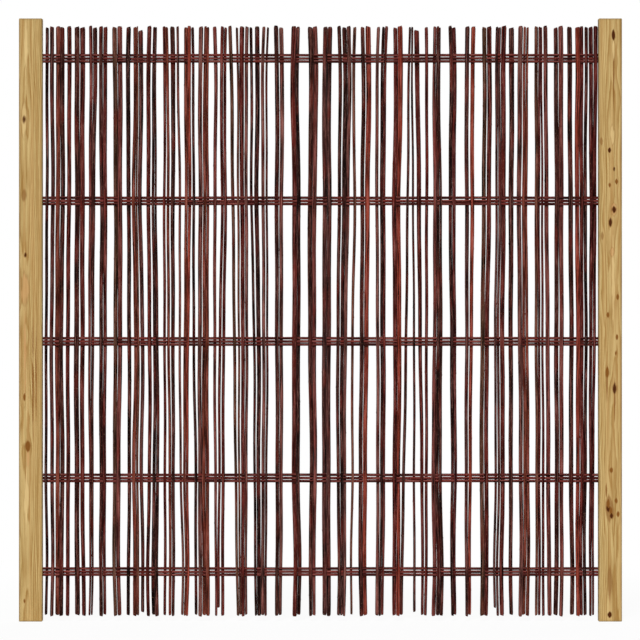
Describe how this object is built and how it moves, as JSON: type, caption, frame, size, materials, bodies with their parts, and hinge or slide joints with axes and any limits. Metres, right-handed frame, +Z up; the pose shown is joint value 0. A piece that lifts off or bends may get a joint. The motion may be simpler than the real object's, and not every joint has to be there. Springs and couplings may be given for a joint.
{
  "type": "woven willow fence panel",
  "caption": "Square fence panel of upright willow rods woven through bands of thin rails between two planed pine stiles.",
  "frame": {"origin": "midway between the two stiles at the level of their feet, in the middle of their depth", "axes": "+X along the rails, to the right as seen from the front; +Z up; the front faces -Y"},
  "size_m": [1.8, 0.045, 1.8],
  "materials": {
    "pine": "planed, unvarnished",
    "rail_willow": "smooth bark, satin",
    "upright_willow": "smooth bark, satin"
  },
  "bodies": {
    "root": {"left_stile": "pine", "right_stile": "pine", "band_1_rail_1": "rail_willow", "band_1_rail_2": "rail_willow", "band_1_rail_3": "rail_willow", "band_2_rail_1": "rail_willow", "band_2_rail_2": "rail_willow", "band_2_rail_3": "rail_willow", "band_3_rail_1": "rail_willow", "band_3_rail_2": "rail_willow", "band_3_rail_3": "rail_willow", "band_4_rail_1": "rail_willow", "band_4_rail_2": "rail_willow", "band_4_rail_3": "rail_willow", "band_5_rail_1": "rail_willow", "band_5_rail_2": "rail_willow", "band_5_rail_3": "rail_willow", "uprights_01": "upright_willow", "uprights_02": "upright_willow", "uprights_03": "upright_willow", "uprights_04": "upright_willow", "uprights_05": "upright_willow", "uprights_06": "upright_willow", "uprights_07": "upright_willow", "uprights_08": "upright_willow", "uprights_09": "upright_willow", "uprights_10": "upright_willow", "uprights_11": "upright_willow", "uprights_12": "upright_willow", "uprights_13": "upright_willow", "uprights_14": "upright_willow", "uprights_15": "upright_willow", "uprights_16": "upright_willow", "uprights_17": "upright_willow", "uprights_18": "upright_willow", "uprights_19": "upright_willow", "uprights_20": "upright_willow", "uprights_21": "upright_willow", "uprights_22": "upright_willow", "uprights_23": "upright_willow", "uprights_24": "upright_willow", "uprights_25": "upright_willow", "uprights_26": "upright_willow", "uprights_27": "upright_willow", "uprights_28": "upright_willow", "uprights_29": "upright_willow", "uprights_30": "upright_willow", "uprights_31": "upright_willow", "uprights_32": "upright_willow", "uprights_33": "upright_willow", "uprights_34": "upright_willow", "uprights_35": "upright_willow", "uprights_36": "upright_willow", "uprights_37": "upright_willow", "uprights_38": "upright_willow", "uprights_39": "upright_willow", "uprights_40": "upright_willow", "uprights_41": "upright_willow", "uprights_42": "upright_willow", "uprights_43": "upright_willow"}
  },
  "joints": []
}
